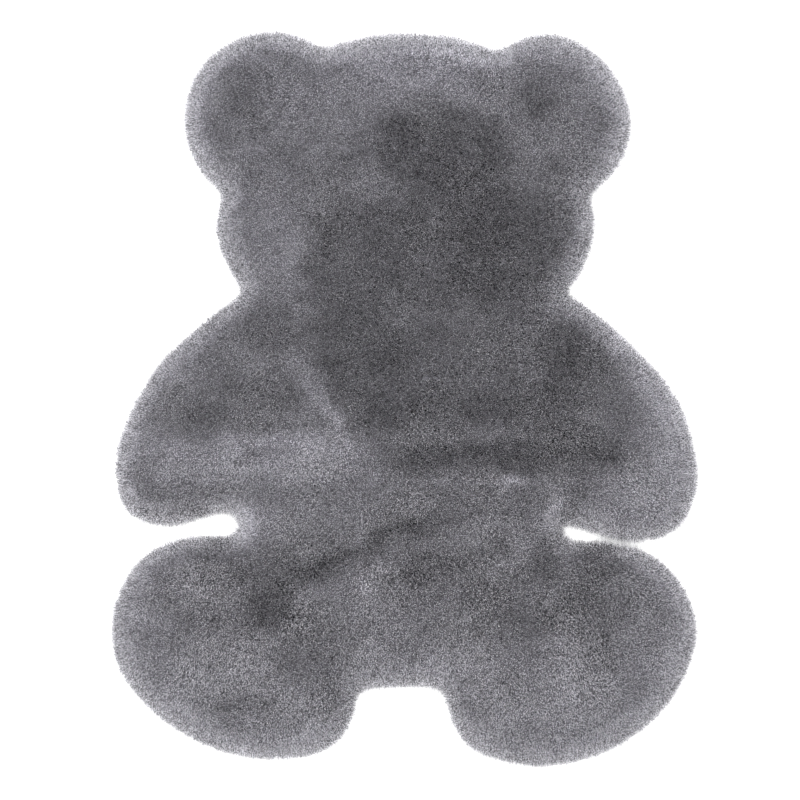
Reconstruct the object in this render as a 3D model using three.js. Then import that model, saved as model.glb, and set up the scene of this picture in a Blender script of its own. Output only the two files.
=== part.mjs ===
import * as THREE from 'three';

// A plush floor rug cut in the outline of a teddy bear, lying flat.
// Millimetres, +Z up, the head towards +Y. The origin is on the floor under the middle.

// Driving sizes
const RUG_WIDTH = 800; // arm to arm
const RUG_LENGTH = 1000; // top of the head to the soles
const PILE_TOP = 27; // usual height of the pile over the floor
const LOCKS = 240; // locks of pile around the rim
const SOFT_CORNER = 9; // how far a corner of the cut is softened to each side
const STEP = 1.5; // spacing of the finely sampled outline
const EVEN_AT = 12; // inset at which the locks are evenly spaced
const SWAY = 2.5; // how far a lock leans along the rim
const TOP_GRID = 15; // spacing of the points on the top

// The cut edge, counterclockwise as seen from above: where each arc starts, and
// how far it bows out before the next one. A negative bow curves inwards.
const OUTLINE = [
  { part: 'top of the head, right', x: 136, y: 470, bow: 8 },
  { part: 'top of the head, left', x: 8, y: 497, bow: 4.3 },
  { part: 'left ear, top', x: -111, y: 474.5, bow: 7.6 },
  { part: 'left ear', x: -176, y: 498.5, bow: 87.5 },
  { part: 'left cheek', x: -240, y: 280, bow: 5.6 },
  { part: 'left jaw', x: -249.5, y: 212, bow: 3 },
  { part: 'left shoulder', x: -211.5, y: 141.5, bow: 3 },
  { part: 'left upper arm', x: -323, y: 51.5, bow: 8 },
  { part: 'left paw, outside', x: -390.5, y: -79, bow: 6 },
  { part: 'left paw, end', x: -377.5, y: -156.5, bow: 14 },
  { part: 'left paw, underside', x: -284, y: -167, bow: -2.5 },
  { part: 'left slit', x: -229.5, y: -157.5, bow: -9.5 },
  { part: 'left thigh, top', x: -229, y: -198, bow: 1.5 },
  { part: 'left thigh, outside', x: -300.5, y: -199, bow: 15.5 },
  { part: 'left foot, outside', x: -388.5, y: -275.5, bow: 11 },
  { part: 'left foot, heel', x: -381, y: -386, bow: 7.8 },
  { part: 'left foot, sole', x: -284.5, y: -470, bow: 17.7 },
  { part: 'left foot, inside', x: -110.5, y: -488, bow: 13.5 },
  { part: 'left of the crotch', x: -65, y: -413.5, bow: -3 },
  { part: 'crotch', x: -50, y: -402, bow: -3 },
  { part: 'right of the crotch', x: 54, y: -399.5, bow: -4 },
  { part: 'right foot, inside', x: 67, y: -417, bow: 7 },
  { part: 'right foot, sole', x: 101, y: -484, bow: 14.3 },
  { part: 'right foot, heel', x: 244, y: -500, bow: 8 },
  { part: 'right foot, outside', x: 344, y: -447, bow: 7.3 },
  { part: 'right thigh, outside', x: 399, y: -362.5, bow: 9.5 },
  { part: 'right thigh, top', x: 395, y: -279, bow: 13.8 },
  { part: 'right slit, lower side', x: 309, y: -209.5, bow: 1.5 },
  { part: 'right slit', x: 226, y: -201, bow: -8 },
  { part: 'right slit, upper side', x: 227, y: -171, bow: 1 },
  { part: 'right paw, underside', x: 287, y: -191, bow: 3 },
  { part: 'right paw, end', x: 332, y: -197, bow: 16.8 },
  { part: 'right paw, outside', x: 403.5, y: -140.5, bow: 6 },
  { part: 'right upper arm', x: 403.5, y: -75, bow: 12.5 },
  { part: 'right shoulder', x: 332.5, y: 53, bow: 5 },
  { part: 'right cheek', x: 220.5, y: 143, bow: 23 },
  { part: 'right ear, root', x: 257, y: 281, bow: 12 },
  { part: 'right ear', x: 315.5, y: 363, bow: 30 },
  { part: 'right ear, top', x: 215, y: 495.5, bow: 8 },
];

// The rim from the floor up: height, and inset from the cut edge at the tip of a
// lock and in the valley between two.
const RIM = [
  { z: 0, tip: 1, valley: 4 },
  { z: 4, tip: -1, valley: 3 },
  { z: 11, tip: 0.5, valley: 4 },
  { z: 18, tip: 6, valley: 8.5 },
  { z: 23.5, tip: 15.5, valley: 17 },
];
const TOP_INSET = 29; // where the rounded rim meets the top

// Folds left from packing and soft creases of the pile: a line from one point to
// another, how far the form reaches to each side, and its rise or fall.
const FOLDS = [
  { name: 'down the left of the face', x: -142, y: 335, toX: -145, toY: 75, reach: 16, rise: -3 },
  { name: 'over the left paw', x: -350, y: -44, toX: -75, toY: -42, reach: 16, rise: -2.5 },
  { name: 'under the left paw', x: -330, y: -121, toX: -10, toY: -119, reach: 16, rise: -2.5 },
  { name: 'belly band', x: -330, y: -82, toX: -90, toY: -80, reach: 24, rise: 2 },
  { name: 'waist', x: -5, y: -82, toX: 275, toY: -85, reach: 17, rise: -4.5 },
  { name: 'chest ridge', x: -152, y: 75, toX: -78, toY: -42, reach: 17, rise: 3 },
  { name: 'chest ridge, lower', x: -78, y: -42, toX: 0, toY: -125, reach: 18, rise: 2.5 },
  { name: 'lap crease', x: 60, y: -165, toX: -95, toY: -238, reach: 19, rise: -4 },
  { name: 'lap crease, deep end', x: -95, y: -238, toX: -195, toY: -288, reach: 22, rise: -5 },
  { name: 'lap ridge', x: 55, y: -200, toX: -165, toY: -318, reach: 22, rise: 2.5 },
  { name: 'right thigh', x: 235, y: -215, toX: 275, toY: -228, reach: 20, rise: -3 },
  { name: 'right foot', x: 275, y: -275, toX: 315, toY: -325, reach: 18, rise: -2.5 },
  { name: 'brow', x: -30, y: 375, toX: 130, toY: 345, reach: 22, rise: -2.5 },
  { name: 'nose ridge', x: 35, y: 215, toX: 75, toY: 175, reach: 15, rise: 2.5 },
];

// Wide soft lumps and hollows of the pile
const LUMPS = [
  { name: 'forehead', x: 20, y: 440, reach: 75, rise: 2 },
  { name: 'crown', x: 10, y: 330, reach: 60, rise: -3 },
  { name: 'right of the face', x: 140, y: 205, reach: 60, rise: -2.5 },
  { name: 'left cheek', x: -195, y: 235, reach: 50, rise: 2.5 },
  { name: 'left ear', x: -225, y: 400, reach: 32, rise: -3 },
  { name: 'right ear', x: 187, y: 412, reach: 28, rise: -3 },
  { name: 'chest', x: -65, y: 55, reach: 60, rise: -2.5 },
  { name: 'left arm', x: -275, y: -20, reach: 38, rise: -2 },
  { name: 'right arm', x: 245, y: 30, reach: 60, rise: -2.5 },
  { name: 'right paw', x: 320, y: -135, reach: 45, rise: 2.5 },
  { name: 'navel', x: 145, y: -118, reach: 22, rise: 3 },
  { name: 'left foot', x: -230, y: -380, reach: 65, rise: 2.5 },
  { name: 'left sole', x: -210, y: -420, reach: 32, rise: -2.5 },
  { name: 'right foot', x: 205, y: -390, reach: 70, rise: 2.5 },
];

// Ripples all over the top: wave length, the way it runs, where it starts, height
const RIPPLES = [
  { wave: 190, way: 0.5, start: 0.4, rise: 0.7 },
  { wave: 131, way: 2.3, start: 1.9, rise: 0.6 },
  { wave: 97, way: 1.3, start: 4.1, rise: 0.5 },
  { wave: 73, way: 2.9, start: 2.7, rise: 0.35 },
];

// A repeatable spread of values from 0 to 1
function spreadFrom(seed) {
  let state = seed;
  return () => {
    state = (Math.imul(state, 1664525) + 1013904223) >>> 0;
    return state / 4294967296;
  };
}

const v2 = (x, y) => new THREE.Vector2(x, y);

// The arc from one corner of the cut edge to the next, without its last point
function arcPoints(from, to) {
  const start = v2(from.x, from.y);
  const end = v2(to.x, to.y);
  const chord = end.clone().sub(start);
  const half = chord.length() / 2;
  const out = v2(chord.y, -chord.x).normalize();
  const middle = start.clone().add(end).multiplyScalar(0.5);
  const bow = Math.abs(from.bow);
  const side = Math.sign(from.bow);
  const radius = (half * half + bow * bow) / (2 * bow);
  const centre = middle.clone().addScaledVector(out, side * (bow - radius));
  const halfTurn = Math.atan2(half, radius - bow);
  const steps = Math.ceil((2 * halfTurn * radius) / STEP);
  const startAngle = Math.atan2(start.y - centre.y, start.x - centre.x);
  const points = [];
  for (let i = 0; i < steps; i += 1) {
    const angle = startAngle + side * 2 * halfTurn * (i / steps);
    points.push(v2(Math.cos(angle), Math.sin(angle)).multiplyScalar(radius).add(centre));
  }
  return points;
}

// Evenly spaced samples round a closed loop. The spacing is measured along the
// guide loop, which has a point for each point of the loop.
function resample(loop, guide, count) {
  const lengths = [0];
  guide.forEach((point, i) => {
    lengths.push(lengths[i] + point.distanceTo(guide[(i + 1) % guide.length]));
  });
  const total = lengths[guide.length];
  const samples = [];
  let i = 0;
  for (let k = 0; k < count; k += 1) {
    const along = (total * k) / count;
    while (lengths[i + 1] < along) {
      i += 1;
    }
    const share = (along - lengths[i]) / (lengths[i + 1] - lengths[i]);
    samples.push(loop[i].clone().lerp(loop[(i + 1) % loop.length], share));
  }
  return samples;
}

// Each point becomes the mean of its neighbours within a reach counted in points
function soften(loop, reach) {
  return loop.map((_, i) => {
    const mean = v2(0, 0);
    for (let k = -reach; k <= reach; k += 1) {
      mean.add(loop[(i + k + loop.length) % loop.length]);
    }
    return mean.divideScalar(2 * reach + 1);
  });
}

// The way out of the shape at each point of a counterclockwise loop
function outward(loop) {
  return loop.map((_, i) => {
    const before = loop[(i + loop.length - 2) % loop.length];
    const after = loop[(i + 2) % loop.length];
    return v2(after.y - before.y, before.x - after.x).normalize();
  });
}

function isInside(loop, point) {
  let inside = false;
  for (let i = 0, j = loop.length - 1; i < loop.length; j = i, i += 1) {
    const a = loop[i];
    const b = loop[j];
    const crosses = a.y > point.y !== b.y > point.y;
    if (crosses && point.x < a.x + ((b.x - a.x) * (point.y - a.y)) / (b.y - a.y)) {
      inside = !inside;
    }
  }
  return inside;
}

function distanceToLine(x, y, line) {
  const dx = line.toX - line.x;
  const dy = line.toY - line.y;
  const share = ((x - line.x) * dx + (y - line.y) * dy) / (dx * dx + dy * dy);
  const held = THREE.MathUtils.clamp(share, 0, 1);
  return Math.hypot(x - line.x - held * dx, y - line.y - held * dy);
}

// Height of the top of the pile over the floor
function pileHeight(x, y) {
  let height = PILE_TOP;
  for (const fold of FOLDS) {
    const away = distanceToLine(x, y, fold) / fold.reach;
    height += fold.rise * Math.exp(-away * away);
  }
  for (const lump of LUMPS) {
    const away = Math.hypot(x - lump.x, y - lump.y) / lump.reach;
    height += lump.rise * Math.exp(-away * away);
  }
  for (const ripple of RIPPLES) {
    const along = x * Math.cos(ripple.way) + y * Math.sin(ripple.way);
    height += ripple.rise * Math.sin((2 * Math.PI * along) / ripple.wave + ripple.start);
  }
  return height;
}

// Triangles of a flat set of points, each with no other point inside its circle
function delaunay(points) {
  const far = 10 * RUG_LENGTH;
  const all = [...points, v2(-far, -far), v2(far, -far), v2(0, far)];
  const circled = (a, b, c) => {
    const [p, q, r] = [all[a], all[b], all[c]];
    const double = 2 * (p.x * (q.y - r.y) + q.x * (r.y - p.y) + r.x * (p.y - q.y));
    const [pp, qq, rr] = [p.lengthSq(), q.lengthSq(), r.lengthSq()];
    const x = (pp * (q.y - r.y) + qq * (r.y - p.y) + rr * (p.y - q.y)) / double;
    const y = (pp * (r.x - q.x) + qq * (p.x - r.x) + rr * (q.x - p.x)) / double;
    return { corners: [a, b, c], x, y, reach: Math.hypot(p.x - x, p.y - y) };
  };
  const first = points.length;
  let triangles = [circled(first, first + 1, first + 2)];
  points.forEach((point, index) => {
    const kept = [];
    const edges = new Map();
    for (const triangle of triangles) {
      if (Math.hypot(point.x - triangle.x, point.y - triangle.y) > triangle.reach) {
        kept.push(triangle);
        continue;
      }
      const [a, b, c] = triangle.corners;
      for (const [from, to] of [[a, b], [b, c], [c, a]]) {
        if (!edges.delete(`${to} ${from}`)) {
          edges.set(`${from} ${to}`, [from, to]);
        }
      }
    }
    for (const [from, to] of edges.values()) {
      kept.push(circled(from, to, index));
    }
    triangles = kept;
  });
  return triangles.map((triangle) => triangle.corners).filter((t) => Math.max(...t) < first);
}

// The cut edge as a fine loop, softened at its corners
function cutEdge() {
  const drawn = OUTLINE.flatMap((row, i) => arcPoints(row, OUTLINE[(i + 1) % OUTLINE.length]));
  return soften(drawn, Math.round(SOFT_CORNER / STEP));
}

// The points round the rim, one for each tip and one for each valley of the locks
function rimPoints() {
  const edge = cutEdge();
  const ways = outward(edge);
  const guide = edge.map((point, i) => point.clone().addScaledVector(ways[i], -EVEN_AT));
  const count = 2 * LOCKS;
  const places = resample(edge, guide, count);
  const facing = resample(ways, guide, count).map((way) => way.normalize());
  return places.map((place, i) => ({ place, way: facing[i] }));
}

// The rug as one closed solid
function makeRug() {
  const spread = spreadFrom(7);
  const rim = rimPoints();
  const count = rim.length;
  const positions = [];
  const triangles = [];
  const addPoint = (x, y, z) => positions.push([x, y, z]) - 1;

  const locks = rim.map((_, i) => ({
    isTip: i % 2 === 0,
    length: 0.7 + 0.45 * spread(),
    sway: SWAY * (2 * spread() - 1),
    lift: 0.88 + 0.24 * spread(),
  }));
  const rings = RIM.map((row) => rim.map(({ place, way }, i) => {
    const lock = locks[i];
    const proud = lock.isTip ? (row.valley - row.tip) * lock.length : 0;
    const inset = row.valley - proud;
    const sway = lock.isTip ? lock.sway * (proud / (RIM[0].valley - RIM[0].tip)) : 0;
    const x = place.x - inset * way.x - sway * way.y;
    const y = place.y - inset * way.y + sway * way.x;
    const fullness = row.z / PILE_TOP;
    const rise = row.z + fullness * (pileHeight(x, y) - PILE_TOP);
    return addPoint(x, y, rise * (lock.isTip ? lock.lift * (1 - fullness) + fullness : 1));
  }));
  for (let k = 0; k + 1 < rings.length; k += 1) {
    for (let i = 0; i < count; i += 1) {
      const next = (i + 1) % count;
      const [low, high] = [rings[k], rings[k + 1]];
      triangles.push([low[i], low[next], high[i]], [low[next], high[next], high[i]]);
    }
  }

  const inner = [];
  const innerLoop = [];
  for (let i = 0; i < count; i += 2) {
    const { place, way } = rim[i];
    const point = place.clone().addScaledVector(way, -TOP_INSET);
    innerLoop.push(point);
    inner.push(addPoint(point.x, point.y, pileHeight(point.x, point.y)));
  }
  const brow = rings[rings.length - 1];
  inner.forEach((here, j) => {
    const next = inner[(j + 1) % inner.length];
    const [a, b, c] = [brow[2 * j], brow[2 * j + 1], brow[(2 * j + 2) % count]];
    triangles.push([a, b, here], [b, next, here], [b, c, next]);
  });

  const flat = [...innerLoop];
  const indices = [...inner];
  const clear = 0.6 * TOP_GRID;
  const loopSides = innerLoop.map((point, i) => {
    const next = innerLoop[(i + 1) % innerLoop.length];
    return { x: point.x, y: point.y, toX: next.x, toY: next.y };
  });
  const rowHeight = TOP_GRID * Math.sin(Math.PI / 3);
  const rows = Math.ceil(RUG_LENGTH / 2 / rowHeight);
  const columns = Math.ceil(RUG_WIDTH / 2 / TOP_GRID);
  for (let row = -rows; row <= rows; row += 1) {
    for (let column = -columns; column <= columns; column += 1) {
      const shift = row % 2 === 0 ? 0 : TOP_GRID / 2;
      const x = column * TOP_GRID + shift + 0.2 * TOP_GRID * (spread() - 0.5);
      const y = row * rowHeight + 0.2 * TOP_GRID * (spread() - 0.5);
      const nearest = Math.min(...loopSides.map((side) => distanceToLine(x, y, side)));
      if (nearest > clear && isInside(innerLoop, v2(x, y))) {
        flat.push(v2(x, y));
        indices.push(addPoint(x, y, pileHeight(x, y)));
      }
    }
  }
  for (const [a, b, c] of delaunay(flat)) {
    const middle = flat[a].clone().add(flat[b]).add(flat[c]).divideScalar(3);
    if (isInside(innerLoop, middle)) {
      triangles.push([indices[a], indices[b], indices[c]]);
    }
  }

  const floorLoop = rings[0].map((index) => v2(positions[index][0], positions[index][1]));
  for (const [a, b, c] of THREE.ShapeUtils.triangulateShape(floorLoop, [])) {
    triangles.push([rings[0][a], rings[0][c], rings[0][b]]);
  }
  return makeGeometry(positions, triangles);
}

// The finished geometry, brought to the full width and length about the origin
function makeGeometry(positions, triangles) {
  const geometry = new THREE.BufferGeometry();
  geometry.setAttribute('position', new THREE.Float32BufferAttribute(positions.flat(), 3));
  geometry.setIndex(triangles.flat());
  geometry.computeBoundingBox();
  const size = geometry.boundingBox.getSize(new THREE.Vector3());
  const centre = geometry.boundingBox.getCenter(new THREE.Vector3());
  geometry.translate(-centre.x, -centre.y, 0);
  geometry.scale(RUG_WIDTH / size.x, RUG_LENGTH / size.y, 1);
  geometry.computeVertexNormals();
  return geometry;
}

const plush = new THREE.MeshStandardMaterial({ color: 0x727177, roughness: 1, metalness: 0 });
const rug = new THREE.Mesh(makeRug(), plush);
rug.name = 'rug';

const object = new THREE.Group();
object.add(rug);

export default object;
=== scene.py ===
import math

import bmesh
import bpy
import numpy as np
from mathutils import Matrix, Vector
from mathutils.kdtree import KDTree


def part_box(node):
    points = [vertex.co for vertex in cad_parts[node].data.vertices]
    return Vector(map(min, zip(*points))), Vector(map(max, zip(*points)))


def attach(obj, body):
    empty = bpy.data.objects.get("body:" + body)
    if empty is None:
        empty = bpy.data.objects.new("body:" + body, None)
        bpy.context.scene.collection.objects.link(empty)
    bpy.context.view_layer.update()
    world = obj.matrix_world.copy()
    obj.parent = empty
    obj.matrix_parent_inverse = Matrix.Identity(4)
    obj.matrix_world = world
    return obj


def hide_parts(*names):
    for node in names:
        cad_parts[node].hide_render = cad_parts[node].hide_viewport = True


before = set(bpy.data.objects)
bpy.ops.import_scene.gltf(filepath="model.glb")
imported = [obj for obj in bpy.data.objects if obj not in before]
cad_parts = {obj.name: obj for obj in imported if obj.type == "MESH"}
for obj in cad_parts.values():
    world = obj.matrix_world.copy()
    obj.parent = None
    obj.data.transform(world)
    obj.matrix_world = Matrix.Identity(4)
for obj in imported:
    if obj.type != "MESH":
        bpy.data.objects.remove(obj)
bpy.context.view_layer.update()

# Sizes, in metres
MM = 0.001
LOW, HIGH = (Vector(corner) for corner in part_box("rug"))
RUG_LENGTH = HIGH.y - LOW.y
SAME_PLACE = 0.01 * MM      # points closer than this are one
BACKING_THICK = 2.2 * MM
BACKING_INSET = 9 * MM      # from the outer tips of the pile to the cut edge of the cloth
BACKING_STEP = 4 * MM       # between the corners of its outline
BACKING_EVENINGS = 12       # times that outline is softened
CORE_CELL = 7 * MM          # squares that the body of the pile is made of
CORE_INSET = 7 * MM         # how far the body of the pile lies inside the solid on top
SIDE_INSET = -2 * MM        # and at the rim, where it lies outside it instead
TUFT_LENGTH = 12 * MM
TUFT_WIDTH = 2.2 * MM
TUFT_APART = 1.42 * MM
TUFT_DENSITY = 2200000.0    # tufts tried for each square metre before close ones go
FUZZ_LENGTH = 15.5 * MM
FUZZ_WIDTH = 0.8 * MM
FUZZ_DENSITY = 700000.0     # strands for each square metre
FLOOR_GAP = 0.3 * MM        # lowest that a tuft reaches over the floor

# How the pile stands
RIM_REACH = 26 * MM         # band along the rim where the pile turns outwards
RIM_RISE = 0.45             # a face at the rim looks up or down less than this
UPRIGHT = 0.3               # share of a gentle slope that the pile on it follows
LEAN = (0.02, -0.06)        # how far all of it leans, along x and y
SWIRL = 0.03                # how much that varies from place to place
SWIRL_WAVE = 110 * MM
SWIRL_SEEDS = (3, 4)        # one for x, one for y
RIM_LEAN = 0.15             # how much more the pile leans out at the rim
RIM_SLIMMER = 0.45          # share of its width that a tuft loses there
RIM_SHORTER = 0.28          # and of its length


# Arithmetic on node sockets

class Sock:
    """A socket that ordinary arithmetic can be written on. Each step adds a Math node."""

    def __init__(self, tree, socket):
        self.tree = tree
        self.socket = socket

    def _math(self, operation, left, right):
        settings = {"operation": operation}
        return self.tree.add("ShaderNodeMath", settings, {0: left, 1: right})

    def __add__(self, other):
        return self._math("ADD", self, other)

    def __sub__(self, other):
        return self._math("SUBTRACT", self, other)

    def __rsub__(self, other):
        return self._math("SUBTRACT", other, self)

    def __mul__(self, other):
        return self._math("MULTIPLY", self, other)

    def __pow__(self, other):
        return self._math("POWER", self, other)

    def at_least(self, other):
        return self._math("MAXIMUM", self, other)

    def at_most(self, other):
        return self._math("MINIMUM", self, other)


class Tree:
    """A node tree with one method that adds any node, and short ones for common nodes."""

    def __init__(self, tree):
        self.tree = tree

    def feed(self, socket, value):
        if isinstance(value, Sock):
            self.tree.links.new(value.socket, socket)
        else:
            socket.default_value = value

    def add(self, kind, settings=None, inputs=None, output=0):
        node = self.tree.nodes.new(kind)
        for name, value in (settings or {}).items():
            setattr(node, name, value)
        for name, value in (inputs or {}).items():
            self.feed(node.inputs[name], value)
        return Sock(self, node.outputs[output])

    def part(self, vector, axis):
        return self.add("ShaderNodeSeparateXYZ", inputs={0: vector}, output=axis)

    def vector(self, operation, inputs):
        return self.add("ShaderNodeVectorMath", {"operation": operation}, inputs)

    def noise(self, place, scale, detail, output=0):
        inputs = {"Vector": place, "Scale": scale, "Detail": detail}
        return self.add("ShaderNodeTexNoise", inputs=inputs, output=output)


# Meshes

def mesh_object(name, mesh):
    piece = bpy.data.objects.new(name, mesh)
    bpy.context.scene.collection.objects.link(piece)
    return piece


def evaluated_mesh(piece):
    """The piece's mesh with its modifiers worked in, as a plain mesh of its own."""
    graph = bpy.context.evaluated_depsgraph_get()
    return bpy.data.meshes.new_from_object(
        piece.evaluated_get(graph), preserve_all_data_layers=True, depsgraph=graph)


def read_vectors(items, field):
    values = np.empty(len(items) * 3, dtype=np.float32)
    items.foreach_get(field, values)
    return values.reshape(-1, 3).astype(np.float64)


def set_places(mesh, places):
    mesh.vertices.foreach_set("co", places.astype(np.float32).ravel())
    mesh.update()


def store(mesh, name, values):
    kind, field = ("FLOAT", "value") if values.ndim == 1 else ("FLOAT_VECTOR", "vector")
    layer = mesh.attributes.new(name, kind, "POINT")
    layer.data.foreach_set(field, values.astype(np.float32).ravel())


def eased(low, high, values):
    share = np.clip((values - low) / (high - low), 0, 1)
    return share * share * (3 - 2 * share)


MOTTLE_WAVES = 28


def mottle(places, wave, seed):
    """An uneven cloudiness from about -2 to 2, as many plain waves of mixed length and way."""
    spread = np.random.default_rng(seed)
    total = np.zeros(len(places))
    for _ in range(MOTTLE_WAVES):
        angle = spread.uniform(0, 2 * math.pi)
        length = wave * spread.uniform(0.7, 1.5)
        start = spread.uniform(0, 2 * math.pi)
        along = places[:, 0] * math.cos(angle) + places[:, 1] * math.sin(angle)
        total += np.cos(2 * math.pi * along / length + start)
    return total / math.sqrt(MOTTLE_WAVES / 2)


# Camera and light. The camera looks straight down, as the photo's does. The photo's
# frame is 800 pixels wide, the rug is 733 of them long, and its middle is at (405, 399).
PHOTO_SIDE = 800
PHOTO_RUG_LENGTH = 733
PHOTO_MIDDLE_X = 405
PHOTO_MIDDLE_Y = 399
CAMERA_HEIGHT = 5.0
SENSOR = 36.0
ROOM_STRENGTH = 2.9         # of the white room that lights the rug from all sides
FLOOR_GREY = 0.75
FLOOR_HALF = 6              # half the floor's width


def make_camera():
    pixel = RUG_LENGTH / PHOTO_RUG_LENGTH
    camera = bpy.data.cameras.new("camera")
    camera.sensor_width = SENSOR
    camera.lens = SENSOR * CAMERA_HEIGHT / (pixel * PHOTO_SIDE)
    holder = bpy.data.objects.new("camera", camera)
    middle = (LOW + HIGH) / 2
    holder.location = (
        middle.x - (PHOTO_MIDDLE_X - PHOTO_SIDE / 2) * pixel,
        middle.y + (PHOTO_MIDDLE_Y - PHOTO_SIDE / 2) * pixel,
        HIGH.z + CAMERA_HEIGHT)
    bpy.context.scene.collection.objects.link(holder)
    bpy.context.scene.camera = holder


def make_soft_light(name, place, size, power):
    light = bpy.data.lights.new(name, "AREA")
    light.shape = "DISK"
    light.size = size
    light.energy = power
    holder = bpy.data.objects.new(name, light)
    holder.location = place
    holder.rotation_euler = (-Vector(place)).to_track_quat("-Z", "Y").to_euler()
    bpy.context.scene.collection.objects.link(holder)


def make_floor():
    material = bpy.data.materials.new("floor")
    material.use_nodes = True
    shader = material.node_tree.nodes["Principled BSDF"]
    shader.inputs["Base Color"].default_value = (FLOOR_GREY, FLOOR_GREY, FLOOR_GREY, 1)
    shader.inputs["Roughness"].default_value = 1.0
    half = FLOOR_HALF
    mesh = bpy.data.meshes.new("floor")
    corners = [(-half, -half, 0), (half, -half, 0), (half, half, 0), (-half, half, 0)]
    mesh.from_pydata(corners, [], [(0, 1, 2, 3)])
    mesh.materials.append(material)
    mesh_object("floor", mesh)


def make_studio():
    bpy.context.scene.view_settings.view_transform = "Standard"
    world = bpy.data.worlds.new("studio")
    world.use_nodes = True
    background = world.node_tree.nodes["Background"]
    background.inputs["Color"].default_value = (1, 1, 1, 1)
    background.inputs["Strength"].default_value = ROOM_STRENGTH
    bpy.context.scene.world = world
    make_soft_light("soft key", place=(-1.5, 1.8, 2.4), size=1.2, power=150)
    make_soft_light("soft fill", place=(1.8, -1.2, 2.4), size=2.0, power=40)
    make_floor()


# The tone of the pile, from 0, black, to 1, white, with painted light and shade in it
USUAL_TONE = 0.463
RIM_PAINTED_SHADE = 0.065          # painted shade at the rim, where tufts show their sides and so look paler
RIM_FADE = 14 * MM          # how far in from the rim that fades
EDGE_PAINTED_SHADE = 0.035         # more of that painted shade on the outermost tufts
EDGE_FADE = 5 * MM
NAP_WANDER = 3 * MM         # how far the edges of the nap's places stray
NAP_WAVE = 50 * MM
NAP_SEED_X = 11
NAP_SEED_Y = 12
CLOUDS = [
    # strength, wave, seed
    (0.006, 45 * MM, 5),
    (0.005, 18 * MM, 6),
]
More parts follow.
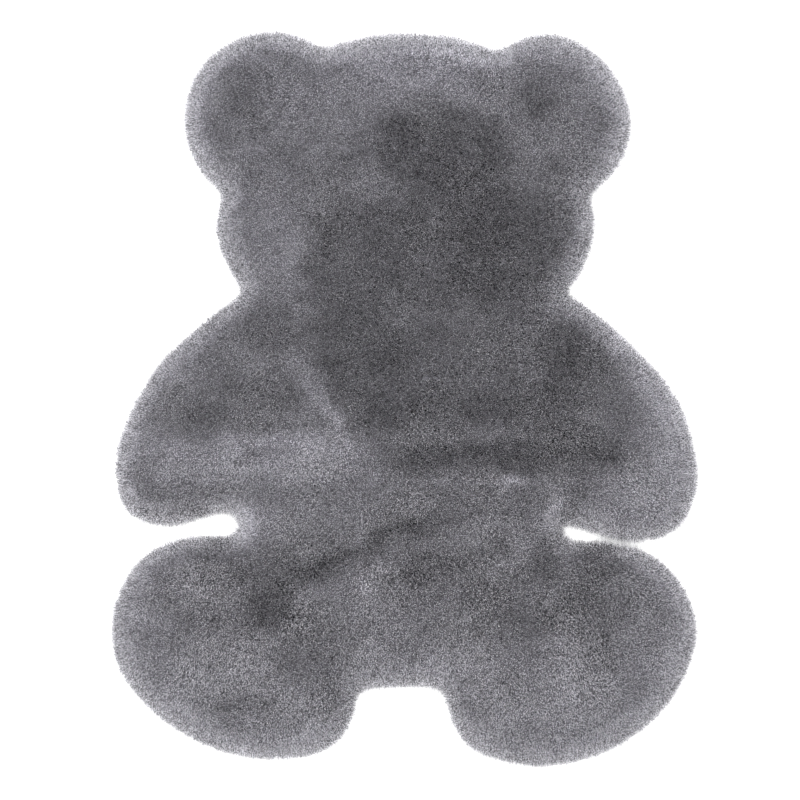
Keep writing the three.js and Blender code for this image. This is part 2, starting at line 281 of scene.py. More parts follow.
# The nap. Places where the pile lies another way and so looks lighter or darker in the light.
# That light and shade, with its glints and the dark of creases and hollows, is painted into
# the pile's tone here. Each row has the middle and the reach along and across in millimetres,
# the turn in degrees, how crisp the edge is (1 soft, 3 crisp), and how much lighter the pile
# looks.
PAINTED_NAP = [
    # name, x, y, reach, across, turn, crisp, lighter
    ("forehead", 29, 449, 105, 36, 0, 1.5, 0.035),
    ("forehead left", -108, 446, 45, 25, 0, 1, -0.015),
    ("head corner", 110, 432, 16, 26, 20, 1, -0.06),
    ("crown", 49, 342, 90, 60, 0, 3, -0.165),
    ("crown left", 0, 362, 36, 40, 0, 1, -0.055),
    ("crown right", 113, 319, 30, 41, 0, 1, -0.05),
    ("temple", -94, 310, 38, 25, 20, 1, -0.06),
    ("nose", -64, 271, 34, 41, 0, 1, 0.02),
    ("nose streak", 38, 271, 30, 8, 100, 1, 0.06),
    ("face left", -53, 200, 90, 75, 0, 3, -0.11),
    ("face right", 131, 217, 102, 85, 0, 2, -0.165),
    ("face right hollow", 97, 233, 44, 46, 0, 1, -0.06),
    ("face glint", 67, 203, 13, 10, 20, 1, 0.10),
    ("face streak", 33, 187, 26, 8, -30, 1, 0.05),
    ("left hollow", -108, 228, 22, 22, 0, 1, -0.06),
    ("left notch", -125, 149, 19, 16, 0, 1, -0.05),
    ("chin", -26, 176, 30, 25, 0, 1, -0.03),
    ("jaw", 90, 155, 60, 18, 0, 1, -0.04),
    ("right cheek", 206, 224, 30, 50, 0, 1, 0.01),
    ("right jaw", 192, 138, 27, 13, -35, 1, -0.03),
    ("cheek edge", -146, 202, 18, 36, 0, 1, 0.08),
    ("cheek line", -148, 105, 28, 6, 90, 1.5, 0.03),
    ("left cheek", -194, 224, 36, 50, 0, 1, -0.02),
    ("left ear top", -220, 424, 38, 28, 30, 1, -0.06),
    ("left ear hollow", -210, 378, 20, 30, 0, 1, -0.06),
    ("left ear side", -254, 374, 22, 28, 0, 1, -0.04),
    ("left ear root", -183, 326, 40, 18, 0, 1, -0.03),
    ("right ear top", 169, 428, 34, 26, 0, 1, -0.08),
    ("right ear hollow", 188, 400, 18, 16, 0, 1, -0.10),
    ("right ear side", 229, 394, 30, 40, 0, 1, -0.02),
    ("right ear root", 209, 318, 20, 18, 0, 1, -0.09),
    ("right ear base", 247, 319, 16, 22, 0, 1, -0.04),
    ("shoulder", -183, 97, 44, 32, 0, 2, -0.07),
    ("left arm", -226, -4, 102, 38, 0, 2, -0.06),
    ("left elbow", -285, -22, 38, 22, 0, 1, -0.05),
    ("left arm spot", -226, 15, 20, 10, 0, 1, -0.05),
    ("left arm inside", -169, 26, 25, 30, 0, 1, -0.03),
    ("band", -190, -78, 165, 33, 0, 3, 0.055),
    ("band end", -337, -60, 28, 18, 0, 1, 0.05),
    ("left hand line", -299, -129, 75, 12, 0, 1, -0.02),
    ("ridge", -115, 5, 72, 12, -58, 2, 0.085),
    ("ridge foot", -71, -67, 30, 22, 0, 1, 0.02),
    ("chest left", -71, 74, 71, 65, 0, 3, -0.135),
    ("chest by the ridge", -70, -5, 75, 18, -52, 1.5, -0.07),
    ("chest", 104, 46, 130, 93, 0, 3, -0.11),
    ("chest hollow", -26, 19, 41, 50, 0, 1, -0.05),
    ("chest foot", 70, -12, 150, 25, 0, 2, -0.05),
    ("chest right", 237, 40, 52, 72, 0, 2, -0.12),
    ("chest right foot", 206, -22, 40, 34, 0, 1, -0.03),
    ("collar streak", 90, 112, 80, 12, 0, 1.5, 0.05),
    ("chest streak left", 35, 53, 34, 10, 35, 1, 0.04),
    ("chest streak right", 110, 26, 46, 12, 35, 1, 0.045),
    ("chest streak dark", 90, 80, 48, 9, 0, 1, -0.02),
    ("chest patch", 151, 74, 20, 36, 0, 1, 0.02),
    ("chest dot", 185, 37, 14, 14, 0, 1, 0.04),
    ("belt streak", 110, -45, 62, 8, 0, 2, 0.015),
    ("waist", 135, -80, 155, 20, 0, 3, -0.125),
    ("waist left end", 15, -86, 27, 18, 0, 1, -0.03),
    ("waist right end", 267, -70, 26, 18, 0, 1, -0.10),
    ("right forearm", 295, -12, 16, 22, 0, 1, -0.06),
    ("right wrist", 230, -131, 14, 36, 0, 1, -0.06),
    ("right hand", 306, -145, 52, 27, 0, 1.5, 0.035),
    ("lap", 90, -131, 100, 36, 0, 2, -0.05),
    ("lap glint", 146, -113, 26, 12, 0, 1, 0.10),
    ("lap dot", 80, -97, 12, 9, 0, 1, 0.07),
    ("belly spot", -135, -187, 22, 15, 0, 1, -0.05),
    ("crease right", 29, -172, 46, 13, 3, 2, -0.12),
    ("crease middle", -57, -201, 60, 11, 24, 2, -0.10),
    ("crease left", -142, -244, 58, 18, 33, 1.5, -0.13),
    ("crease end", -185, -280, 30, 30, 0, 1.5, -0.13),
    ("above the crease", -162, -222, 48, 22, 0, 1, -0.06),
    ("below the crease", -80, -254, 75, 17, 24, 1.5, 0.03),
    ("hip hollow", 11, -236, 19, 25, 0, 1, -0.09),
    ("hip light", 53, -254, 19, 19, 0, 1, 0.02),
    ("hip top", 70, -220, 40, 16, 0, 1, -0.06),
    ("hip foot", 117, -261, 38, 16, 10, 1, -0.09),
    ("hip side", 192, -237, 30, 24, 0, 1, -0.11),
    ("hip glint", 160, -206, 14, 22, 0, 1, 0.05),
    ("hip dot", 124, -203, 19, 16, 0, 1, -0.07),
    ("right leg root", 267, -222, 32, 30, 0, 2, -0.16),
    ("right knee band", 226, -278, 55, 16, 25, 1, -0.10),
    ("right thigh", 158, -301, 50, 20, 0, 1, -0.06),
    ("right thigh foot", 104, -318, 40, 20, 20, 1, -0.05),
    ("right knee side", 273, -308, 38, 11, 95, 1, -0.10),
    ("right knee top", 297, -282, 22, 14, 0, 1, -0.07),
    ("right knee edge", 336, -288, 20, 40, 0, 1, -0.03),
    ("right leg", 213, -383, 110, 75, 0, 1.5, 0.03),
    ("right leg streak", 233, -356, 45, 12, 60, 1, 0.025),
    ("belly light", -26, -308, 40, 48, 0, 1, 0.03),
    ("belly foot", 29, -315, 30, 10, 30, 1, -0.03),
    ("left thigh", -271, -213, 25, 16, 0, 1, -0.07),
    ("left thigh inside", -224, -244, 27, 16, 0, 1, -0.08),
    ("left thigh side", -326, -263, 16, 19, 0, 1, -0.05),
    ("left knee", -224, -304, 60, 22, 0, 1, -0.06),
    ("left knee inside", -101, -329, 60, 35, 0, 1, -0.045),
    ("left knee side", -299, -301, 27, 27, 0, 1, -0.03),
    ("left leg light", -210, -363, 45, 24, 0, 1, 0.02),
    ("left leg side", -292, -367, 30, 24, 0, 1, 0.02),
    ("left foot line", -213, -417, 57, 11, 0, 1.5, -0.065),
    ("left foot inside", -94, -411, 25, 34, 0, 1, -0.05),
    ("temple right", -64, 340, 22, 18, 0, 1, -0.05),
    ("left brow", -91, 271, 22, 14, 0, 1, -0.05),
    ("nose root", 35, 265, 42, 26, 0, 1, -0.10),
    ("forehead dot", 35, 415, 16, 12, 0, 1, -0.05),
    ("right ear front", 172, 380, 45, 35, 0, 1, -0.025),
    ("left jaw", -125, 138, 22, 12, 0, 1, -0.06),
    ("left jaw dot", -128, 179, 14, 12, 0, 1, -0.05),
    ("throat", 8, 135, 45, 16, 0, 1, -0.09),
    ("mouth", 65, 176, 14, 14, 0, 1, -0.07),
    ("crown streak", 84, 327, 20, 28, 0, 1, 0.05),
    ("crown dot", 15, 319, 14, 12, 0, 1, 0.035),
    ("temple dot", -128, 333, 14, 12, 0, 1, 0.04),
    ("left shoulder", -235, 98, 50, 30, 0, 1, -0.03),
    ("left armpit", -124, 63, 22, 14, 0, 1, 0.06),
    ("ridge side", -135, -8, 16, 14, 0, 1, 0.03),
    ("left arm top", -262, 0, 36, 16, 0, 1, 0.045),
    ("chest low left", -26, -22, 60, 18, -40, 1, -0.075),
    ("ridge notch", -74, -35, 18, 14, 0, 1, -0.05),
    ("belt", 98, -46, 85, 12, 0, 1.5, -0.03),
    ("belt right", 225, -48, 40, 14, 0, 1, -0.07),
    ("waist foot left", 0, -97, 22, 15, 0, 1, -0.08),
    ("waist foot right", 247, -104, 20, 14, 0, 1, -0.05),
    ("right slit side", 220, -151, 10, 16, 0, 1, -0.05),
    ("right hip", 206, -150, 10, 18, 0, 1, 0.10),
    ("lap dash left", 22, -138, 18, 10, 0, 1, 0.03),
    ("lap dash right", 131, -140, 16, 8, 0, 1, 0.03),
    ("lap dash low", 110, -158, 16, 7, 0, 1, 0.03),
    ("over the crease", -12, -179, 50, 14, 25, 1, -0.07),
    ("right hip side", 192, -206, 20, 20, 0, 1, -0.06),
    ("right knee inside", 240, -265, 18, 36, 0, 1, -0.055),
    ("hip line", 35, -226, 22, 12, 0, 1, -0.05),
    ("hip shade", 110, -208, 40, 20, 0, 1, -0.02),
    ("lap foot", -12, -260, 25, 15, 0, 1, -0.03),
    ("crease side", -176, -233, 22, 16, 0, 1, -0.06),
    ("crease lip", -145, -262, 26, 9, 25, 1, 0.05),
    ("crease lip end", -176, -274, 14, 12, 0, 1, 0.04),
    ("left knee hollow", -150, -305, 34, 30, 0, 1, -0.07),
    ("right knee dot", 295, -292, 10, 12, 0, 1, -0.05),
    ("right knee glint", 274, -284, 9, 10, 0, 1, 0.05),
    ("right thigh glint", 187, -295, 18, 14, 0, 1, 0.035),
    ("right thigh rim", 312, -238, 25, 10, -30, 1, -0.04),
    ("right calf", 225, -340, 60, 25, 0, 1, -0.025),
    ("right thigh line", 90, -300, 50, 15, 25, 1, -0.025),
    ("left thigh rim", -270, -205, 40, 10, 0, 1, -0.05),
    ("left hand rim", -285, -146, 50, 10, 12, 1, -0.05),
    ("crotch", 50, -366, 50, 16, 0, 1, 0.045),
    ("right hand rim", 360, -80, 16, 48, 0, 1, 0.05),
    ("left foot rim", -345, -305, 30, 50, 0, 1, 0.04),
    ("left heel rim", -310, -415, 50, 14, -45, 1, 0.04),
    ("right shoulder rim", 285, 85, 22, 12, -45, 1, 0.06),
    ("right ear rim", 182, 467, 16, 12, 0, 1, 0.04),
    ("left arm rim", -370, -70, 14, 35, 0, 1, 0.03),
    ("head", 0, 435, 330, 62, 0, 1, 0.045),
    ("left ear front", -268, 372, 26, 56, 0, 1, 0.05),
    ("left cheek side", -195, 215, 44, 80, 0, 1, 0.055),
    ("throat right", 70, 158, 90, 30, 0, 1, -0.03),
    ("nose side", 15, 244, 16, 30, 0, 1, -0.05),
    ("left brow end", -107, 255, 18, 34, 0, 1, -0.04),
    ("band top", -176, -52, 64, 12, 0, 1, 0.06),
    ("band middle", -250, -83, 90, 9, 0, 1, -0.03),
    ("band right end", -115, -87, 26, 14, 0, 1, -0.06),
    ("belly top", -67, -104, 18, 16, 0, 1, 0.04),
    ("chest foot left", 15, -32, 45, 34, 0, 1, -0.08),
    ("waist top", 125, -67, 145, 11, 0, 1.5, -0.07),
    ("waist top right", 229, -55, 50, 22, 0, 1, -0.08),
    ("right hand middle", 322, -110, 22, 28, 0, 1, -0.04),
    ("right arm side", 335, -15, 30, 50, 0, 1, 0.03),
    ("left slit side", -208, -175, 28, 34, 0, 1, 0.10),
    ("lap and legs", 30, -250, 240, 140, 0, 1, -0.03),
    ("crease top", -155, -205, 40, 20, 20, 1, -0.04),
    ("over the crease left", -26, -158, 40, 18, 25, 1, -0.05),
    ("lap low", 131, -147, 30, 10, 0, 1, -0.03),
    ("lap fold left", 0, -252, 36, 22, 0, 1, -0.06),
    ("lap fold right", 98, -245, 26, 34, 0, 1, -0.05),
    ("lap fold low", 97, -290, 30, 12, 20, 1, -0.03),
    ("left thigh shade", -246, -248, 34, 26, 0, 1, -0.055),
    ("left calf", -253, -368, 42, 20, 0, 1, -0.05),
    ("left knee dot", -108, -288, 16, 12, 0, 1, -0.03),
    ("right sole light", 155, -396, 55, 22, 0, 1, -0.05),
    ("right calf side", 264, -375, 28, 62, 0, 1, -0.075),
    ("right knee", 225, -305, 50, 40, 0, 1, -0.045),
    ("left sole", -175, -462, 60, 18, 0, 1, 0.03),
    ("right heel", 322, -380, 24, 28, 0, 1, 0.03),
    ("left foot inside", -100, -395, 20, 46, 0, 1, -0.03),
    ("chest left streak", -23, 98, 16, 20, 0, 1, -0.04),
    ("crown side", 122, 330, 18, 40, 0, 1, -0.03),
    ("right cheek side", 235, 178, 16, 42, 0, 1, 0.03),
    ("belt shade", 190, -36, 34, 18, 0, 1, -0.04),
    ("lap right", 185, -110, 28, 16, 0, 1, -0.04),
    ("left shoulder rim", -325, 80, 34, 9, 40, 1, -0.05),
    ("left cheek rim", -236, 178, 9, 30, 0, 1, -0.04),
]


# The usual tone with the nap's light and shade, its glints and dark creases painted on it
def tone_with_painted_nap(places):
    tone = np.full(len(places), USUAL_TONE)
    strayed_x = places[:, 0] + NAP_WANDER * mottle(places, NAP_WAVE, NAP_SEED_X)
    strayed_y = places[:, 1] + NAP_WANDER * mottle(places, NAP_WAVE, NAP_SEED_Y)
    for _, x, y, reach, across, turn, crisp, lighter in PAINTED_NAP:
        angle = math.radians(turn)
        dx = strayed_x - x * MM
        dy = strayed_y - y * MM
        u = (dx * math.cos(angle) + dy * math.sin(angle)) / (reach * MM)
        v = (dy * math.cos(angle) - dx * math.sin(angle)) / (across * MM)
        tone += lighter * np.exp(-(u * u + v * v) ** crisp)
    return tone


# The tone: the nap's painted light and shade, painted shade at the rim, and random clouds
def pile_tone(places, rim_away):
    tone = tone_with_painted_nap(places) - RIM_PAINTED_SHADE * np.exp(-rim_away / RIM_FADE)
    tone -= EDGE_PAINTED_SHADE * np.exp(-rim_away / EDGE_FADE)
    tone += sum(strength * mottle(places, wave, seed) for strength, wave, seed in CLOUDS)
    return tone


# The body of the pile
SMOOTHING = 0.5             # how far its points move to the middle of their neighbours
SMOOTH_STEPS = 3
UNDERSIDE = -0.5            # a face on the underside looks down more than this
GRAINY_BELOW = 0.48         # in pile darker than this, tufts differ more among themselves
GRAINY_RANGE = 0.25         # and it stops growing this much further down
GRAINY_BY = 4
LEAST_SLOPE = 0.0001        # a flatter place has no downhill


def remeshed_rug():
    """The solid's own form in even squares, a little smoothed."""
    piece = mesh_object("pile_body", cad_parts["rug"].data.copy())
    weld = piece.modifiers.new("weld", "WELD")
    weld.merge_threshold = SAME_PLACE
    squares = piece.modifiers.new("squares", "REMESH")
    squares.mode = "VOXEL"
    squares.voxel_size = CORE_CELL
    smooth = piece.modifiers.new("smooth", "SMOOTH")
    smooth.factor = SMOOTHING
    smooth.iterations = SMOOTH_STEPS
    mesh = evaluated_mesh(piece)
    piece.modifiers.clear()
    piece.data = mesh
    return piece


def nearest_rim(places, normals):
    """How far each place is from the rim, seen from above, and which way is out there."""
    rim = np.flatnonzero(np.abs(normals[:, 2]) < RIM_RISE)
    tree = KDTree(len(rim))
    for i in rim:
        tree.insert((places[i, 0], places[i, 1], 0), int(i))
    tree.balance()
    nearest = np.array([tree.find((x, y, 0))[1:] for x, y, _ in places])
    out = normals[nearest[:, 0].astype(int), :2]
    return nearest[:, 1], out / np.linalg.norm(out, axis=1, keepdims=True)


def combed(places, normals, at_rim, way_out):
    """Which way the pile stands at each place."""
    tilt = np.arccos(np.clip(normals[:, 2], -1, 1))
    tilt *= UPRIGHT + (1 - UPRIGHT) * np.minimum(tilt / (0.5 * math.pi), 1) ** 2
    level = normals[:, :2]
    level = level / np.maximum(np.linalg.norm(level, axis=1, keepdims=True), LEAST_SLOPE)
    comb = np.concatenate([level * np.sin(tilt)[:, None], np.cos(tilt)[:, None]], axis=1)
    swirl = np.stack([mottle(places, SWIRL_WAVE, seed) for seed in SWIRL_SEEDS], axis=1)
    comb[:, :2] += (SWIRL * swirl + np.array(LEAN)) * (1 - at_rim[:, None])
    comb[:, :2] += RIM_LEAN * way_out * at_rim[:, None]
    return comb


def draw_in(mesh, places, normals):
    """Moves the surface in under the tips of the pile, with its underside level."""
    inset = SIDE_INSET + (CORE_INSET - SIDE_INSET) * np.abs(normals[:, 2:])
    drawn = places - inset * normals
    under = normals[:, 2] < UNDERSIDE
    drawn[under, 2] = places[under, 2]
    drawn[:, 2] = np.maximum(drawn[:, 2], 0.5 * BACKING_THICK)
    set_places(mesh, drawn)


def make_core():
    """The dense lower pile, which keeps at its points what the tufts on it are grown by."""
    core = remeshed_rug()
    mesh = core.data
    places = read_vectors(mesh.vertices, "co")
    normals = read_vectors(mesh.vertex_normals, "vector")
    rim_away, way_out = nearest_rim(places, normals)
    at_rim = 1 - eased(0, RIM_REACH, rim_away)
    # the tone carries the nap's painted light and shade and the rim's painted shade
    tone = pile_tone(places, rim_away)
    store(mesh, "comb", combed(places, normals, at_rim, way_out))
    store(mesh, "tone", tone)
    store(mesh, "rim", at_rim)
    store(mesh, "slim", 1 - RIM_SLIMMER * at_rim)
    store(mesh, "short", 1 - RIM_SHORTER * at_rim)
    store(mesh, "grain", 1 + GRAINY_BY * np.clip(GRAINY_BELOW - tone, 0, GRAINY_RANGE))
    draw_in(mesh, places, normals)
    mesh.materials.append(make_depth_material())
    return core


# Materials. The tint is the photo's grey, with a faint violet cast.
TINT = (1.01, 1.0, 1.058)
ROUGHNESS = 0.95
TONE_POWER = 2.2            # a tone's light is its power times this gain
TONE_GAIN = 2.72
BRIGHTEST = 0.9
ROOT_SHADE = 0.75           # painted shade: share of that light left at a tuft's root, deep among the other tufts
TIP_SHADE = 1.0             # and at its tip, before the tip's own dark
TIP_FROM = 0.64             # share of a tuft's length at which its darker tip starts
TIP_TO = 0.94               # and is darkest
TIP_DARK = 0.76             # how much darker the very tip is
FIBRE_FINENESS = 850        # scale of the noise that sets single fibres apart
FIBRE_STRETCH = (1.0, 1.0, 0.1)
FIBRE_GRAIN = 0.77          # how far they differ in tone, partly as their own grain, partly as painted highlights and shade
GRAIN_ON_BLACK = 3.9        # how many times more they do on black pile
GRAIN_FALL = 6.1            # and how fast that falls as the pile gets lighter
GRAIN_LEAST = 0.8           # the least, on pale pile
GRAIN_PEAK = 0.16           # the noise over its middle is cut off here
DARKEST_FIBRE = 0.06
PALEST_FIBRE = 0.85
DEPTH_FINENESS = 420
DEPTH_PAINTED_SHADE = 0.25        # painted shade: share of the pile's light that is left between the tufts
DEPTH_GRAIN = 0.5           # and how much of it comes and goes
CLOTH_LIGHT = 0.20
CLOTH_FINENESS = 900
CLOTH_GRAIN = 0.10
RIB_FINENESS = 130          # gives ribs 2.4 mm apart
RIB_WAVER = 1.5
RIB_LIGHTER = 0.06
RIB_HEIGHT = 0.4 * MM


def new_material(name):
    material = bpy.data.materials.new(name)
    material.use_nodes = True
    return material, Tree(material.node_tree)


def finish_plush(tree, light):
    """A dull surface in the tint, as light as this."""
    shader = tree.tree.nodes["Principled BSDF"]
    tree.feed(shader.inputs["Base Color"], tree.vector("SCALE", {0: TINT, "Scale": light}))
    shader.inputs["Roughness"].default_value = ROUGHNESS
    shader.inputs["Specular IOR Level"].default_value = 0.0


def make_tuft_material():
    """Tufts read their own map: across it the tone, up it the way from root to tip."""
    material, tree = new_material("plush tufts")
    place = tree.add("ShaderNodeUVMap", {"uv_map": "OFBake"})
    tone = tree.part(place, 0)
    along = tree.part(place, 1)
    spot = tree.add("ShaderNodeTexCoord", output="Object")
    spot = tree.vector("MULTIPLY", {0: spot, 1: FIBRE_STRETCH})
    # Fibre grain: partly the fibres' own tone, partly painted highlights and shade among them
    grain = (tree.noise(spot, FIBRE_FINENESS, 0) - 0.5).at_most(GRAIN_PEAK)
    strong = (GRAIN_ON_BLACK - tone * GRAIN_FALL) * FIBRE_GRAIN
    strong = strong.at_least(GRAIN_LEAST * FIBRE_GRAIN)
    tone = (tone + strong * grain).at_least(DARKEST_FIBRE).at_most(PALEST_FIBRE)
    tip = ((along - TIP_FROM) * (1 / (TIP_TO - TIP_FROM))).at_least(0.0).at_most(1.0)
    # Painted shade towards each tuft's root, then the tip's own dark
    light = (tone ** TONE_POWER) * TONE_GAIN * (along * (TIP_SHADE - ROOT_SHADE) + ROOT_SHADE)
    light = light * (1.0 - tip * TIP_DARK)
    finish_plush(tree, light.at_most(BRIGHTEST))
    return material


def make_depth_material():
    """The dense pile between the tufts, darkened with painted shade."""
    material, tree = new_material("plush depth")
    tone = tree.add("ShaderNodeAttribute", {"attribute_name": "tone"}, output="Fac")
    place = tree.add("ShaderNodeTexCoord", output="Object")
    grain = tree.noise(place, DEPTH_FINENESS, 2)
    # Painted shade between the tufts, coming and going with the noise
    light = (tone ** TONE_POWER) * TONE_GAIN * (grain * DEPTH_GRAIN + DEPTH_PAINTED_SHADE)
    finish_plush(tree, light)
    return material


def make_backing_material():
    """Plain knitted ground cloth, in fine ribs."""
    material, tree = new_material("backing cloth")
    place = tree.add("ShaderNodeTexCoord", output="Object")
    grain = tree.noise(place, CLOTH_FINENESS, 3)
    inputs = {"Vector": place, "Scale": RIB_FINENESS, "Distortion": RIB_WAVER, "Detail": 1}
    ribs = tree.add("ShaderNodeTexWave", {"wave_profile": "SIN"}, inputs, output="Fac")
    height = ribs + grain * 0.5
    bump = tree.add("ShaderNodeBump", inputs={"Height": height, "Distance": RIB_HEIGHT})
    tree.feed(tree.tree.nodes["Principled BSDF"].inputs["Normal"], bump)
    finish_plush(tree, grain * CLOTH_GRAIN + ribs * RIB_LIGHTER + CLOTH_LIGHT)
    return material


# The tufts. Each is a cone with three sides. Even tufts keep a distance, others fall at
# random. Shortest is the least share of the usual length. Spread and clump spread are how
# far single tufts and neighbours stray from the comb.
BANDS = [
    # name, from and to along y in metres
    ("pile_crown", 0.345, 1.0),
    ("pile_face", 0.19, 0.345),
    ("pile_chest", 0.03, 0.19),
    ("pile_waist", -0.11, 0.03),
    ("pile_lap", -0.26, -0.11),
    ("pile_legs", -0.37, -0.26),
    ("pile_feet", -1.0, -0.37),
]
FUZZ_BANDS = [
    # name, from and to along y in metres
    ("fuzz_upper", 0.03, 1.0),
    ("fuzz_lower", -1.0, 0.03),
]
TUFTS = {
    "Rim from": -1.0, "Apart": TUFT_APART, "Density": TUFT_DENSITY,
    "Length": TUFT_LENGTH, "Shortest": 0.93, "Width": TUFT_WIDTH,
    "Spread": 0.03, "Clump size": 3 * MM, "Clump spread": 0.0, "Tone spread": 0.17,
}
FUZZ = {
    "Rim from": 0.75, "Apart": 0.0, "Density": FUZZ_DENSITY,
    "Length": FUZZ_LENGTH, "Shortest": 0.6, "Width": FUZZ_WIDTH,
    "Spread": 0.3, "Clump size": 4 * MM, "Clump spread": 0.12, "Tone spread": 0.2,
}
TUFT_SEED = 1
FUZZ_SEED = 900
SEED_STEP = 20              # between one band and the next
GROWS_FROM = -0.6           # tufts grow on faces that look down less than this
MEAN_SQUARE = 0.33          # of a chance from 0 to 1, so that dark tufts don't change the mean
CLUMP_GAIN = 4.0            # brings the noise of a clump to about -1 to 1
STRAY_UP = 0.4              # a tuft strays by 1 to the sides, and by this upwards
NEARLY_DOWN = (0.1, 0.0, -2.0)
SPIN = 1.1                  # radians that a tuft is turned about itself, either way
NARROWEST = 0.75            # share of the usual width
WIDEST = 1.25
ALONG_SLANT = 0.04          # keeps the map of a tuft's base from being one line
SKEW_X = 0.9                # sets the sides of one tuft apart
SKEW_Y = 0.43
SKEW_TONE = 0.03
MAP_EDGE = 0.02             # left free on both sides of the map
# What tufts are grown by, taken off them once they stand
TUFT_NOTES = ("along", "skew", "shade", "tone", "comb", "rim", "slim", "short", "grain")


class TuftTree(Tree):
    """Geometry Nodes that grow tufts from a surface, along the comb stored on it."""

    def __init__(self, name, even):
        super().__init__(bpy.data.node_groups.new(name, "GeometryNodeTree"))
        kinds = {"Surface": "Geometry", **dict.fromkeys(TUFTS, "Float"), "From": "Float",
                 "To": "Float", "Seed": "Int", "Material": "Material"}
        self.keys = {label: self.new_socket(label, "INPUT", kind) for label, kind in kinds.items()}
        self.new_socket("Tufts", "OUTPUT", "Geometry")
        given = self.tree.nodes.new("NodeGroupInput")
        self.given = {label: Sock(self, given.outputs[label]) for label in self.keys}
        self.spot = self.add("GeometryNodeInputPosition")
        points = self.keep(self.scattered(even), "shade", self.shade())
        self.finish(self.add("GeometryNodeInstanceOnPoints", inputs={
            "Points": points, "Instance": self.one_tuft(),
            "Rotation": self.stance(), "Scale": self.size()}))

    def new_socket(self, label, way, kind):
        return self.tree.interface.new_socket(
            name=label, in_out=way, socket_type="NodeSocket" + kind).identifier

    def named(self, attribute, data_type="FLOAT"):
        settings = {"data_type": data_type}
        return self.add("GeometryNodeInputNamedAttribute", settings, {"Name": attribute})

    def random(self, low, high, offset):
        inputs = {2: low, 3: high, "Seed": self.given["Seed"] + offset}
        return self.add("FunctionNodeRandomValue", {"data_type": "FLOAT"}, inputs, output=1)

    def joined(self, x=0.0, y=0.0, z=0.0):
        return self.add("ShaderNodeCombineXYZ", inputs={0: x, 1: y, 2: z})

    def moved(self, start, way, how_far):
        """The first vector with the second added to it, this many times."""
        return self.vector("ADD", {0: start, 1: self.vector("SCALE", {0: way, "Scale": how_far})})

    def compare(self, operation, left, right):
        settings = {"data_type": "FLOAT", "operation": operation}
        return self.add("FunctionNodeCompare", settings, {0: left, 1: right})

    def both(self, left, right):
        return self.add("FunctionNodeBooleanMath", {"operation": "AND"}, {0: left, 1: right})

    def keep(self, geometry, attribute, value, domain="POINT", data_type="FLOAT"):
        return self.add(
            "GeometryNodeStoreNamedAttribute", {"data_type": data_type, "domain": domain},
            {"Geometry": geometry, "Name": attribute, "Value": value})

    def one_tuft(self):
        """A cone of height 1, with its height kept as along and its sides set apart as skew."""
        cone = self.add("GeometryNodeMeshCone", {"fill_type": "NGON"}, {
            "Vertices": 3, "Side Segments": 1,
            "Radius Top": 0.0, "Radius Bottom": 0.5, "Depth": 1.0})
        x, y, z = (self.part(self.spot, axis) for axis in range(3))
        tuft = self.keep(cone, "along", z + y * ALONG_SLANT)
        return self.keep(tuft, "skew", x * SKEW_X + y * SKEW_Y)

    def chosen(self):
        """Where tufts grow: in one band, near enough to the rim, and not underneath."""
        y = self.part(self.spot, 1)
        rise = self.part(self.add("GeometryNodeInputNormal"), 2)
        band = self.both(
            self.compare("GREATER_EQUAL", y, self.given["From"]),
            self.compare("LESS_THAN", y, self.given["To"]))
        near = self.compare("GREATER_EQUAL", self.named("rim"), self.given["Rim from"])
        return self.both(self.both(band, near), self.compare("GREATER_THAN", rise, GROWS_FROM))

    def scattered(self, even):
        inputs = {"Mesh": self.given["Surface"], "Selection": self.chosen(), "Seed": self.given["Seed"]}
        if even:
            inputs["Distance Min"] = self.given["Apart"]
            inputs["Density Max"] = self.given["Density"]
        else:
            inputs["Density"] = self.given["Density"]
        settings = {"distribute_method": "POISSON" if even else "RANDOM"}
        return self.add("GeometryNodeDistributePointsOnFaces", settings, inputs, output="Points")

    def shade(self):
        """The tone of each tuft: the one stored on the pile, with its painted light and shade, and a
        few much darker ones among it.
        """
        chance = self.random(0.0, 1.0, 1)
        uneven = (MEAN_SQUARE - chance * chance) * self.given["Tone spread"]
        return self.named("tone") + uneven * self.named("grain")

    def clump(self):
        """A stray way that neighbours share."""
        noise = self.noise(self.spot, self.given["Clump size"] ** -1.0, 1.0, output="Color")
        noise = self.vector("SUBTRACT", {0: noise, 1: (0.5, 0.5, 0.5)})
        return self.vector("SCALE", {0: noise, "Scale": CLUMP_GAIN})

    def stance(self):
        """How each tuft is turned: near the comb, and spun about itself."""
        comb = self.named("comb", "FLOAT_VECTOR")
        stray = self.joined(
            self.random(-1.0, 1.0, 2), self.random(-1.0, 1.0, 3),
            self.random(-STRAY_UP, STRAY_UP, 4))
        way = self.moved(comb, stray, self.given["Spread"])
        way = self.moved(way, self.clump(), self.given["Clump spread"])
        down = self.vector("ADD", {0: comb, 1: NEARLY_DOWN})
        turned = self.add(
            "FunctionNodeAxesToRotation", {"primary_axis": "Z", "secondary_axis": "X"},
            {"Primary Axis": way, "Secondary Axis": down})
        spin = self.joined(z=self.random(-SPIN, SPIN, 5))
        return self.add(
            "FunctionNodeRotateRotation", {"rotation_space": "LOCAL"},
            {"Rotation": turned, "Rotate By": spin})

    def size(self):
        wide = self.given["Width"] * self.random(NARROWEST, WIDEST, 6) * self.named("slim")
        shortest = self.given["Shortest"]
        tall = self.given["Length"] * self.random(shortest, 2.0 - shortest, 7) * self.named("short")
        return self.joined(wide, wide, tall)

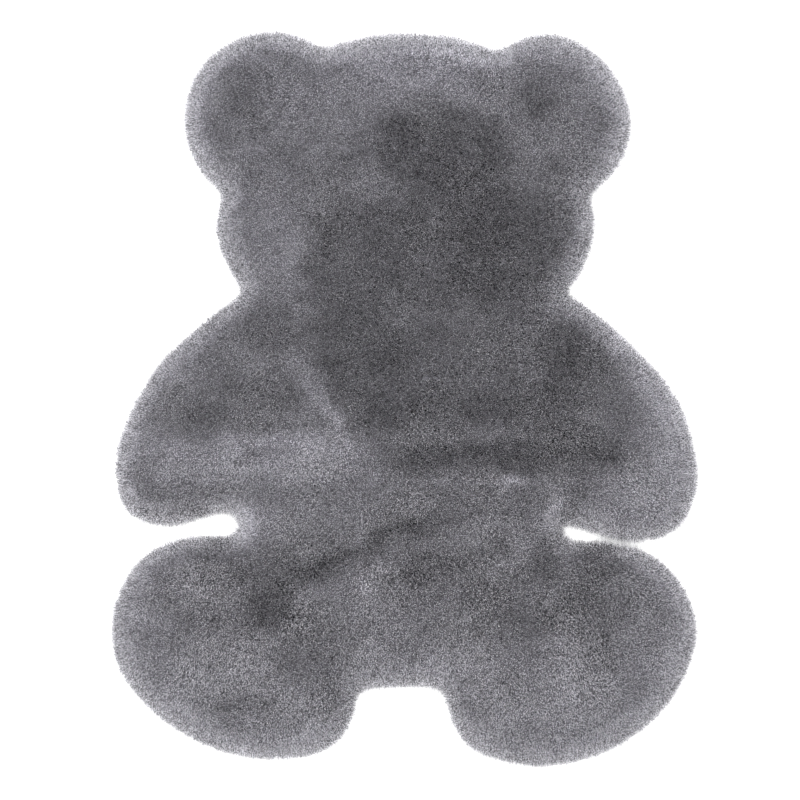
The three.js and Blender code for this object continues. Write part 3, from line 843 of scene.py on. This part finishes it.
    def finish(self, grown):
        """Real meshes with their map: across it the tone, up it the way from root to tip."""
        real = self.add("GeometryNodeRealizeInstances", inputs={"Geometry": grown})
        across = self.named("shade") + self.named("skew") * SKEW_TONE
        across = across.at_least(MAP_EDGE).at_most(1 - MAP_EDGE)
        place = self.joined(across, self.named("along"))
        mapped = self.keep(real, "OFBake", place, "CORNER", "FLOAT2")
        done = self.add("GeometryNodeSetMaterial", inputs={
            "Geometry": mapped, "Material": self.given["Material"]})
        out = self.tree.nodes.new("NodeGroupOutput")
        self.feed(out.inputs["Tufts"], done)


def grow(name, core, tufts, values):
    """A piece of pile, grown from the core by the tufts' tree with these values."""
    piece = mesh_object(name, core.data)
    modifier = piece.modifiers.new("grow", "NODES")
    modifier.node_group = tufts.tree
    for label, value in values.items():
        modifier[tufts.keys[label]] = value
    mesh = evaluated_mesh(piece)
    piece.modifiers.clear()
    piece.data = mesh
    for note in TUFT_NOTES:
        if note in mesh.attributes:
            mesh.attributes.remove(mesh.attributes[note])
    places = read_vectors(mesh.vertices, "co")
    places[:, 2] = np.maximum(places[:, 2], FLOOR_GAP)
    set_places(mesh, places)
    return piece


def make_pile(core):
    material = make_tuft_material()
    kinds = [
        (TuftTree("tufts", even=True), TUFTS, BANDS, TUFT_SEED),
        (TuftTree("rim fuzz", even=False), FUZZ, FUZZ_BANDS, FUZZ_SEED),
    ]
    pieces = []
    for tufts, values, bands, seed in kinds:
        for order, (name, start, end) in enumerate(bands):
            pieces.append(grow(name, core, tufts, {
                **values, "From": start, "To": end,
                "Seed": seed + SEED_STEP * order, "Material": material}))
    return pieces


# The backing

def rim_on_floor(cloth):
    """The corners round the solid's flat underside, in order and anticlockwise."""
    flat = [max(v.co.z for v in face.verts) < SAME_PLACE for face in cloth.faces]
    follows = {}
    for edge in cloth.edges:
        kinds = [flat[face.index] for face in edge.link_faces]
        if sorted(kinds) == [False, True]:
            upper = [loop for loop in edge.link_loops if not flat[loop.face.index]][0]
            follows[upper.vert.index] = upper.link_loop_next.vert.index
    start = next(iter(follows))
    order = [start]
    while follows[order[-1]] != start:
        order.append(follows[order[-1]])
    return np.array([cloth.verts[i].co[:2] for i in order])


def floor_outline():
    """The rug's outline on the floor, anticlockwise, evened and softened."""
    cloth = bmesh.new()
    cloth.from_mesh(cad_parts["rug"].data)
    bmesh.ops.remove_doubles(cloth, verts=cloth.verts, dist=SAME_PLACE)
    cloth.verts.ensure_lookup_table()
    cloth.verts.index_update()
    cloth.faces.index_update()
    corners = rim_on_floor(cloth)
    cloth.free()

    closed = np.vstack([corners, corners[:1]])
    away = np.concatenate([[0], np.cumsum(np.linalg.norm(np.diff(closed, axis=0), axis=1))])
    count = int(away[-1] / BACKING_STEP)
    stops = np.linspace(0, away[-1], count, endpoint=False)
    ring = np.stack([np.interp(stops, away, closed[:, k]) for k in range(2)], axis=1)
    for _ in range(BACKING_EVENINGS):
        ring = (np.roll(ring, 1, axis=0) + 2 * ring + np.roll(ring, -1, axis=0)) / 4
    return ring


def area_inside(ring):
    ahead = np.roll(ring, -1, axis=0)
    return 0.5 * float(np.sum(ring[:, 0] * ahead[:, 1] - ring[:, 1] * ahead[:, 0]))


def make_backing():
    """The ground cloth under the pile, cut a little inside its tips."""
    ring = floor_outline()
    tangent = np.roll(ring, -2, axis=0) - np.roll(ring, 2, axis=0)
    tangent /= np.linalg.norm(tangent, axis=1, keepdims=True)
    ring = ring - BACKING_INSET * np.stack([tangent[:, 1], -tangent[:, 0]], axis=1)

    cloth = bmesh.new()
    low = [cloth.verts.new((x, y, 0)) for x, y in ring]
    high = [cloth.verts.new((x, y, BACKING_THICK)) for x, y in ring]
    ends = [cloth.faces.new(low[::-1]), cloth.faces.new(high)]
    for i in range(len(ring)):
        j = (i + 1) % len(ring)
        cloth.faces.new((low[i], low[j], high[j], high[i]))
    cloth.normal_update()
    bmesh.ops.triangulate(cloth, faces=ends)
    mesh = bpy.data.meshes.new("backing")
    cloth.to_mesh(mesh)
    cloth.free()
    mesh.materials.append(make_backing_material())
    size = np.ptp(ring, axis=0)
    return mesh_object("backing", mesh), [float(x) for x in size], area_inside(ring)


make_camera()
make_studio()
core = make_core()
pile = make_pile(core)
backing, backing_size, backing_area = make_backing()
for piece in [backing, core, *pile]:
    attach(piece, "root")
    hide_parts("rug")
